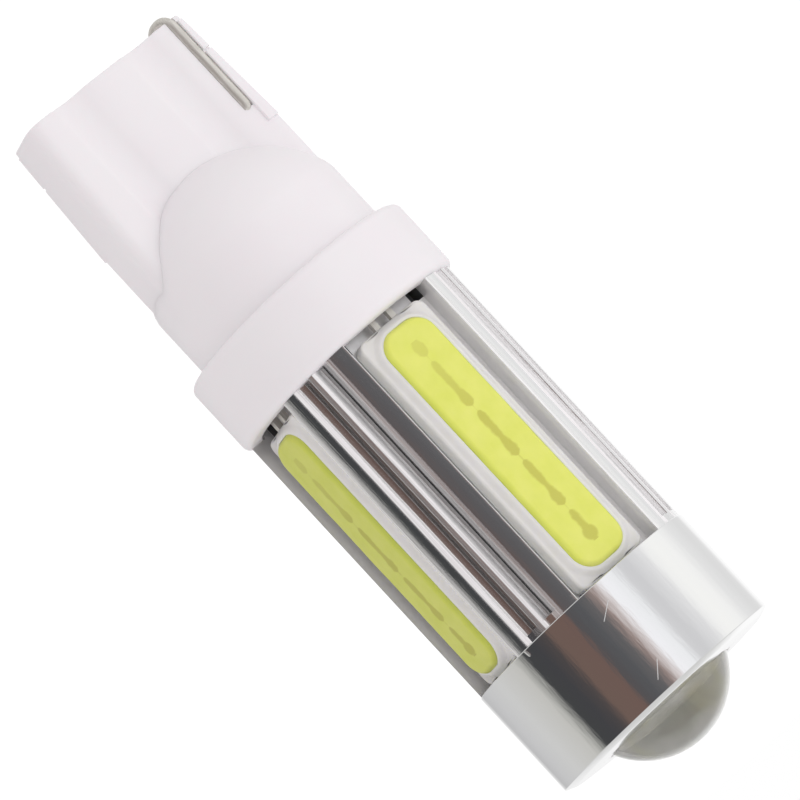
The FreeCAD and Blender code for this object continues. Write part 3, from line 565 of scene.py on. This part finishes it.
def near_line(tree, place, start, end, width):
    """One on a line from start to end in millimetres, that falls to nothing at its width."""
    start, end = Vector(start), Vector(end)
    run = end - start
    offset = add_node(tree, "VectorMath", {0: place, 1: start}, operation="SUBTRACT").outputs[0]
    share = add_node(tree, "VectorMath", {0: offset, 1: run / run.length_squared}, operation="DOT_PRODUCT")
    share = calculate(tree, "MULTIPLY", share.outputs["Value"], 1.0, clamp=True)
    foot = add_node(tree, "VectorMath", {0: run, "Scale": share}, operation="SCALE").outputs[0]
    gap = add_node(tree, "VectorMath", {0: offset, 1: foot}, operation="DISTANCE").outputs["Value"]
    return share_of(tree, gap, width, width * 0.4)


aluminium, tree, surface = new_finish("polished_aluminium", (0.97, 0.97, 0.975), 0.06, metallic=1.0)
place = bulb_place(tree)
x, y, z = along_axes(tree, place)
width_x, width_y = calculate(tree, "ABSOLUTE", x), calculate(tree, "ABSOLUTE", y)
radius = calculate(tree, "SQRT", scaled_sum(tree, x, x, times(tree, y, y)))
# Behind the front collar, between the slots, lies a corner. Across it runs this place from its middle line.
behind = below(tree, z, collar_rear - 0.01)
beside = above(tree, calculate(tree, "MINIMUM", width_x, width_y), slot_half + 0.02)
corner = times(tree, behind, beside)
slot = calculate(tree, "SUBTRACT", behind, corner)
grooved = below(tree, radius, corner_radius - 0.15)
handed = calculate(tree, "SIGN", times(tree, x, times(tree, y, -1.0)))
across = times(tree, calculate(tree, "SUBTRACT", width_x, width_y), math.sqrt(0.5))
across = times(tree, across, handed)
# The bands' edges wander a little along the drawn grain, least on the wide dark land.
dark_land, bright_land, land_wander, edge_wander = -1.25, -1.05, 0.15, 0.07
grain = add_noise(tree, 0.07 * MM, detail=1.5, stretch=(1, 1, 90))
spread = calculate(tree, "SUBTRACT", grain, 0.5)
lively = share_of(tree, across, dark_land, bright_land)
spread = times(tree, spread, scaled_sum(tree, lively, 1 - land_wander, land_wander))
across = scaled_sum(tree, spread, edge_wander, across)
# How much of each band is brushed or pitted enough to show light of its own, not a mirrored room.
satin = add_steps(tree, across, -2.1, 2.1, [
    (-2.1, 0.3), (-1.97, 0.0), (-1.15, 0.0), (-1.09, 0.26), (-0.93, 0.36), (-0.7, 0.38), (-0.65, 0.0),
    (-0.38, 0.0), (-0.3, 0.2), (-0.25, 1.1), (-0.06, 0.9), (-0.02, 0.1), (0.18, 0.2), (0.24, 0.08),
    (0.5, 0.08), (0.55, 0.0), (0.66, 0.0), (0.84, 0.05), (0.88, 1.2), (1.1, 1.25), (1.15, 0.7),
    (1.21, 0.1), (1.27, 0.0), (1.52, 0.0), (1.62, 0.08), (1.74, 0.28), (2.1, 0.4),
])
satin = times(tree, satin, scaled_sum(tree, spread, 1.4, 1.0))
# The grooves of the corners beside -X are made matt and pale, which paints light into them.
matt_painted_light = times(tree, below(tree, x, 0.0), grooved)
satin = scaled_sum(tree, matt_painted_light, 0.8, satin)
satin = calculate(tree, "MULTIPLY", satin, corner, clamp=True)
recess = times(tree, below(tree, radius, lens_socket + 0.1), above(tree, z, recess_floor - 0.1))
satin = scaled_sum(tree, recess, 0.7, satin)
# The slots are milled and a little dull. Painted shade darkens them where they open into the bulb behind the
# boards.
notch = below(tree, calculate(tree, "MAXIMUM", width_x, width_y), slot_floor - 0.02)
notch = times(tree, times(tree, notch, below(tree, z, notch_end)), slot)
# Painted shade darkens the grooves of the corner beside +X, and the slot's wall away from the lamp.
groove_painted_shade = add_steps(tree, across, -0.9, 0.9, [
    (-0.9, 0.0), (-0.66, 0.0), (-0.6, 0.6), (-0.34, 0.5), (-0.28, 0.0), (0.3, 0.0),
    (0.4, 0.4), (0.6, 0.3), (0.75, 0.0),
])
groove_painted_shade = times(tree, times(tree, groove_painted_shade, grooved), times(tree, corner, above(tree, x, 0.0)))
# Painted shade on the slot's wall away from the lamp.
wall_painted_shade = times(tree, above(tree, x, slot_floor), above(tree, y, slot_half - 0.1))
wall_painted_shade = times(tree, wall_painted_shade, slot)
level = scaled_sum(tree, groove_painted_shade, -groove_shade_loss, bare_level)
level = scaled_sum(tree, times(tree, satin, spread), mottle, level)
level = scaled_sum(tree, notch, -notch_shade_loss, level)
level = calculate(tree, "MULTIPLY_ADD", wall_painted_shade, -wall_shade_loss, level, clamp=True)
tint = add_node(tree, "CombineColor", {0: level, 1: level, 2: level}).outputs[0]
tree.links.new(tint, surface.inputs["Base Color"])
metal = calculate(tree, "SUBTRACT", 1.0, satin)
metal = scaled_sum(tree, slot, -0.55, metal)
dull = scaled_sum(tree, satin, satin_rough, bare_rough)
dull = scaled_sum(tree, slot, slot_rough, dull)
dull = scaled_sum(tree, times(tree, corner, calculate(tree, "SUBTRACT", 1.0, lively)), land_rough, dull)
dull = scaled_sum(tree, times(tree, corner, grooved), groove_rough, dull)
ripple = add_noise(tree, 0.3 * MM, detail=5.0, stretch=(1, 1, 5))
waves = add_node(tree, "Bump", {"Height": ripple, "Distance": 0.0065 * MM}).outputs[0]
lines = times(tree, spread, scaled_sum(tree, corner, 0.4, 0.1))
brushed = add_node(tree, "Bump", {"Height": lines, "Distance": 0.004 * MM, "Normal": waves}).outputs[0]
# A nick and two hairline scratches catch the light on the front collar: start, end and width.
marks = near_line(tree, place, (5.12, -3.16, 18.82), (5.1, -3.2, 19.1), 0.09)
for start, end, width in (
    ((1.8, -5.745, 19.72), (2.5, -5.477, 20.28), 0.019),
    ((1.98, -5.687, 23.03), (2.5, -5.479, 23.7), 0.022),
):
    marks = calculate(tree, "MAXIMUM", marks, near_line(tree, place, start, end, width))
marked = add_node(tree, "Bump", {"Height": marks, "Distance": 0.01 * MM, "Normal": brushed}).outputs[0]
tree.links.new(marked, surface.inputs["Normal"])
tree.links.new(scaled_sum(tree, marks, -0.13, metal), surface.inputs["Metallic"])
tree.links.new(scaled_sum(tree, marks, 0.3, dull), surface.inputs["Roughness"])


def corner_arc(reach, low, high, steps=8):
    """Points of a corner's round face, as places across it and out from the axis."""
    first, last = math.asin(low / reach), math.asin(high / reach)
    angles = [first + (last - first) * step / steps for step in range(1, steps)]
    return [(reach * math.sin(angle), reach * math.cos(angle), 0) for angle in angles]


def sink_outline(grooves, reach=corner_radius, notched=False):
    """The outline of the slotted bar, with its grooves and rear notches or without them."""
    edge = reach * math.sin(math.pi / 4 - math.asin(slot_half / reach))
    low = land_half
    middle, high = low + step_width, low + groove_width
    floor = reach - groove_depth
    half = []
    if grooves:
        half += [
            (low, math.sqrt(reach ** 2 - low ** 2), edge_round),
            (low, floor - step_depth, cut_round),
            (middle, floor - step_depth, cut_round),
            (middle, floor, edge_round),
            (high, floor, 0.8 * cut_round),
            (high, math.sqrt(reach ** 2 - high ** 2), edge_round),
        ]
        half += corner_arc(reach, high, edge)
    else:
        half += corner_arc(reach, low, edge)
    half.append((edge, math.sqrt(reach ** 2 - edge ** 2), edge_round))
    middle_arc = corner_arc(reach, -low, low, 6)
    face = [(-across, out, rounding) for across, out, rounding in reversed(half)] + middle_arc + half
    deep = slot_floor - notch_depth
    inner = slot_half - notch_width
    before, after = [(slot_half, -slot_floor, slot_round)], [(slot_floor, -slot_half, slot_round)]
    if notched:
        before = [(inner, -slot_floor), (inner, -deep), (slot_half, -deep)]
        after = [(deep, -slot_half), (deep, -inner), (slot_floor, -inner)]
        before, after = [[(px, py, notch_round) for px, py in side] for side in (before, after)]
    outward, along = Vector((1, -1)).normalized(), Vector((1, 1)).normalized()
    points = [(*(outward * out + along * across), rounding) for across, out, rounding in face]
    outline = []
    for quarter in range(4):
        spin = Matrix.Rotation(quarter * math.tau / 4, 2)
        outline += [(*(spin @ Vector((px, py))), rounding) for px, py, rounding in before + points + after]
    return round_off(outline, step=30)


sink = bmesh.new()
for outline, low, high in (
    (sink_outline(True, notched=True), collar_front, notch_end),
    (sink_outline(True), notch_end, groove_end),
    (sink_outline(False), groove_end, collar_rear + 0.1),
    (sink_outline(False, reach=inner_radius, notched=True), sink_end, collar_front),
):
    stack_outlines(sink, [(outline, low), (outline, high)])
turn_profile(sink, round_off([
    (bore_radius, collar_rear, 0),
    (front_radius, collar_rear, cut_round),
    (front_radius, front_face, 1.4 * cut_round),
    *((front_radius - inwards, front_face + forwards, bevel_round) for inwards, forwards in bevel_places),
    (lens_socket, front_face + lip_rise, lip_round),
    (lens_socket, recess_floor, 0),
    (bore_radius, recess_floor, 0),
]))
new_piece("heat_sink_turned", sink, aluminium, ["heat_sink"])

# Each light strip is a white-coated board on grey heat-conducting adhesive, in a slot of the heat sink.
# A row of dies is bonded to the board and covered with one pour of yellow silicone phosphor.
# The coating swells up to the pour in a low glazed rim, and two tinned leads are soldered at the base end.
board_low, board_high = (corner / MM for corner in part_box("strip_board_1"))
pad_low, pad_high = (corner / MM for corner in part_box("phosphor_strip_1"))
board_back, board_top, pad_top = -board_high.y, -board_low.y, -pad_low.y
board_round, board_edge, pad_round, pad_steps, pad_gap, pad_lean = 0.45, 0.12, 1.1, 8, 0.02, 0.3
wave_depth, wave_size, wave_apart, wave_fade, long_run, run_cuts = 0.08, 0.9, 7.3, 1 / 12, 5.0, 40
group_length, group_end, dies_low, dies_high = 2.95, 18.3, 5.6, 17.36
last_die, last_die_radius, die_edge, die_wander = 16.95, 0.36, 0.05, 0.16
# The last colour is painted shade for the pad that looks along +X.
rim_low, rim_high, rim_share, pad_painted_shade = 1.15, 1.5, 0.6, (0.81, 0.82, 0.83)

adhesive, tree, surface = new_finish("grey_adhesive", (0.45, 0.46, 0.47), 0.6)
add_bump(tree, surface, add_noise(tree, 0.2 * MM), 0.02 * MM)
coating, tree, surface = new_finish("white_board", (0.84, 0.84, 0.82), 0.3, sockets={
    "Subsurface Weight": 0.3,
    "Subsurface Radius": (1.0, 0.95, 0.7),
    "Subsurface Scale": 0.3 * MM,
})
shade = add_ramp(tree, add_noise(tree, 0.9 * MM), [(0.35, (0.83, 0.83, 0.8)), (0.65, (0.86, 0.86, 0.84))])
tree.links.new(shade, surface.inputs["Base Color"])
add_bump(tree, surface, add_noise(tree, 0.35 * MM), 0.012 * MM)
die, tree, surface = new_finish("led_die", (0.4, 0.42, 0.2), 0.3)
add_bump(tree, surface, add_noise(tree, 0.1 * MM), 0.005 * MM)

# The phosphor lets the rows of dies show as olive marks, in groups that each end in a wider one.
phosphor, tree, surface = new_finish("yellow_phosphor", screen(236, 242, 96), 0.4, sockets={
    "Specular IOR Level": 0.2,
    "Subsurface Weight": 0.3,
    "Subsurface Radius": (1.0, 1.0, 0.2),
    "Subsurface Scale": 0.35 * MM,
})
x, y, z = along_axes(tree, bulb_place(tree))
beside = calculate(tree, "MINIMUM", calculate(tree, "ABSOLUTE", x), calculate(tree, "ABSOLUTE", y))
wobble = calculate(tree, "SUBTRACT", add_noise(tree, 0.35 * MM, detail=1.0), 0.5)
group = calculate(tree, "FRACT", scaled_sum(tree, z, 1 / group_length, 10 - group_end / group_length))
reach = add_steps(tree, group, 0.0, 1.0, [
    (0.0, 0.0), (0.09, 0.0), (0.12, 0.13), (0.2, 0.19), (0.45, 0.19), (0.62, 0.14),
    (0.7, 0.17), (0.82, 0.28), (0.93, 0.24), (0.97, 0.12), (0.99, 0.0),
])
reach = scaled_sum(tree, wobble, die_wander, reach)
flat_place = add_node(tree, "CombineXYZ", {0: beside, 1: 0.0, 2: z}).outputs[0]
last = add_node(tree, "VectorMath", {0: flat_place, 1: (0.0, 0.0, last_die)}, operation="DISTANCE")
last = calculate(tree, "SUBTRACT", last_die_radius, last.outputs["Value"])
mark = calculate(tree, "MAXIMUM", calculate(tree, "SUBTRACT", reach, beside), last)
mark = share_of(tree, mark, -die_edge, die_edge)
mark = times(tree, mark, times(tree, above(tree, z, dies_low), below(tree, z, dies_high)))
# The marks are faint at the base end, where the pour is thickest.
faint = add_node(tree, "MapRange", {
    "Value": z,
    "From Min": 5.0,
    "From Max": 10.0,
    "To Min": 0.3,
    "To Max": 0.8,
})
mark = times(tree, mark, faint.outputs[0])
cloud = add_noise(tree, 1.1 * MM)
body = add_ramp(tree, cloud, [(0.3, screen(230, 237, 116)), (0.7, screen(237, 242, 130))])
rim = times(tree, share_of(tree, beside, rim_low, rim_high), rim_share)
body = blend_colours(tree, rim, body, screen(220, 236, 92))
body = blend_colours(tree, mark, body, screen(202, 200, 95))
# Painted shade darkens the pad that looks along +X.
body = blend_colours(tree, above(tree, x, slot_floor + 0.15), body, pad_painted_shade, "MULTIPLY")
tree.links.new(body, surface.inputs["Base Color"])
add_bump(tree, surface, add_noise(tree, 0.5 * MM), 0.02 * MM)


def strip_outline(half_width, low, high, radius, grow=0.0):
    """A rounded rectangle across and along a strip, that may be drawn in or out."""
    reach = half_width + grow
    return round_off([
        (-reach, low - grow, radius + grow), (reach, low - grow, radius + grow),
        (reach, high + grow, radius + grow), (-reach, high + grow, radius + grow),
    ])


def waver(outline, number, depth):
    """An outline whose straight runs are cut finer and waver a little, as a poured edge does."""
    points = []
    for point, following in zip(outline, outline[1:] + outline[:1]):
        run = following - point
        count = run_cuts if run.length > long_run else 1
        points += [point + run * part / count for part in range(count)]
    middle = sum(points, Vector((0, 0))) / len(points)
    wavered = []
    for point in points:
        swell = noise.noise(Vector((point.x * wave_size, point.y * wave_size, number * wave_apart)))
        wavered.append(point + (point - middle).normalized() * depth * swell)
    return wavered


def lay_layers(builder, layers):
    """Stack outlines outwards from the slot's floor, each given with its distance from the bulb's axis."""
    rings = []
    for outline, out in layers:
        rings.append([builder.verts.new(Vector((x, -out, y)) * MM) for x, y in outline])
    for ring, following in zip(rings, rings[1:]):
        for step in range(len(ring)):
            builder.faces.new([ring[step - 1], ring[step], following[step], following[step - 1]])
    builder.faces.new(rings[0])
    builder.faces.new(rings[-1])


board_layers = []
for out, inset in (
    (board_back, 0),
    (board_top - board_edge, 0),
    (board_top - board_edge * 0.3, board_edge * 0.3),
    (board_top, board_edge),
):
    board_layers.append((strip_outline(board_high.x, board_low.z, board_high.z, board_round, -inset), out))
# The rim's height over the board, and how far outside the pad it lies.
for height, grow in (
    (0.0, 0.34), (0.06, 0.27), (0.15, 0.17), (0.22, 0.09), (0.25, 0.01), (0.24, -0.06), (0.0, -0.12),
):
    outline = strip_outline(pad_high.x, pad_low.z, pad_high.z, pad_round, grow)
    board_layers.append((outline, board_top + height))
for number in (1, 2, 3, 4):
    dress(f"strip_adhesive_{number}", adhesive)
    dress(f"led_dies_{number}", die)
    dress(f"strip_leads_{number}", tinned)
    spin = Matrix.Rotation(math.tau * (number - 1) / 4, 3, "Z")
    board = bmesh.new()
    lay_layers(board, board_layers)
    bmesh.ops.rotate(board, verts=board.verts, matrix=spin)
    new_piece(f"strip_board_{number}_coated", board, coating, [f"strip_board_{number}"],
              crease=50)

    pad = bmesh.new()
    pad_layers = []
    for part in range(pad_steps + 1):
        lean = math.pi / 2 * part / pad_steps
        inset = pad_gap + pad_lean * (1 - math.cos(lean))
        outline = strip_outline(pad_high.x, pad_low.z, pad_high.z, pad_round, -inset)
        outline = waver(outline, number, wave_depth * (1 - part * wave_fade))
        pad_layers.append((outline, board_top + (pad_top - board_top) * math.sin(lean)))
    lay_layers(pad, pad_layers)
    bmesh.ops.rotate(pad, verts=pad.verts, matrix=spin)
    new_piece(f"phosphor_strip_{number}_moulded", pad, phosphor, [f"phosphor_strip_{number}"],
              crease=60)

# The front light is one chip package with a drop of phosphor, soldered to a round white board.
# The board is bedded on a thermal pad in the recess under the lens.
# Two insulated copper leads, one red and one black, run from it through the heat sink's bore to the driver.
dress("front_thermal_pad", adhesive)
dress("front_board", coating)
package, tree, surface = new_finish("chip_package", (0.8, 0.8, 0.76), 0.4)
add_bump(tree, surface, add_noise(tree, 0.3 * MM), 0.01 * MM)
dress("front_led", package)
dress("front_phosphor", phosphor)
for number, name, colour in (
    (1, "red_insulation", (0.5, 0.03, 0.02)),
    (2, "black_insulation", (0.02, 0.02, 0.02)),
):
    insulation, tree, surface = new_finish(name, colour, 0.45)
    add_bump(tree, surface, add_noise(tree, 0.2 * MM), 0.01 * MM)
    dress(f"front_lead_{number}", insulation)

# The lens is one clear domed moulding, hollow over the chip and pressed into the socket in the front face.
# Its colour is painted light: olive in the middle where the chip shows through, a painted reflection pale
# towards the rim, and painted highlights and olive patches between.
lens_low, lens_high = (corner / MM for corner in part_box("front_lens"))
lens_radius, lens_base, lens_steps = lens_high.x, 24.5, 32
lens_hollow, hollow_top = 2.15, lens_low.z + 0.9
# Where the lens's painted light is centred, how far its edge wanders, and how far it reaches.
painted_light_middle, painted_light_wander, painted_light_reach = (0.9, -1.6, 25.3), 1.4, 5.0
clear, tree, surface = new_finish("clear_lens", (0.96, 0.955, 0.92), 0.05, sockets={
    "Transmission Weight": 0.8,
    "IOR": 1.5,
    "Coat Weight": 1.0,
    "Coat IOR": 1.8,
})
away = add_node(tree, "VectorMath", {0: bulb_place(tree), 1: painted_light_middle}, operation="DISTANCE")
away = scaled_sum(tree, add_noise(tree, 1.2 * MM), painted_light_wander, away.outputs["Value"])
lens_painted_light = add_ramp(tree, times(tree, away, 1 / painted_light_reach), [
    (0.28, (0.38, 0.37, 0.27)),
    (0.41, (0.56, 0.56, 0.5)),
    (0.53, (0.8, 0.81, 0.76)),
    (0.64, (0.9, 0.92, 0.68)),
    (0.76, (1.0, 1.0, 0.96)),
])
# Olive patches and pale painted highlights are laid over the painted light.
painted_olive_patches = add_steps(tree, add_noise(tree, 2.4 * MM, detail=0.5), 0.0, 1.0, [(0.4, 0.0), (0.65, 0.5)])
lens_painted_light = blend_colours(tree, painted_olive_patches, lens_painted_light, (0.6, 0.53, 0.22))
painted_highlight_patches = add_steps(tree, add_noise(tree, 1.7 * MM, detail=0.5), 0.0, 1.0, [(0.46, 0.0), (0.7, 0.75)])
tree.links.new(blend_colours(tree, painted_highlight_patches, lens_painted_light, (0.97, 0.97, 0.96)), surface.inputs["Base Color"])
lens_dome = lens_high.z - lens_base
lens_sphere = (lens_radius ** 2 + lens_dome ** 2) / (2 * lens_dome)
profile = []
for step in range(lens_steps + 1):
    lean = math.asin(lens_radius / lens_sphere) * (1 - step / lens_steps)
    profile.append((lens_sphere * math.sin(lean), lens_high.z - lens_sphere * (1 - math.cos(lean))))
profile += [(0, hollow_top), (lens_hollow, hollow_top), (lens_hollow, lens_low.z), (lens_radius, lens_low.z)]
lens = bmesh.new()
turn_profile(lens, profile)
new_piece("front_lens_moulded", lens, clear, ["front_lens"])
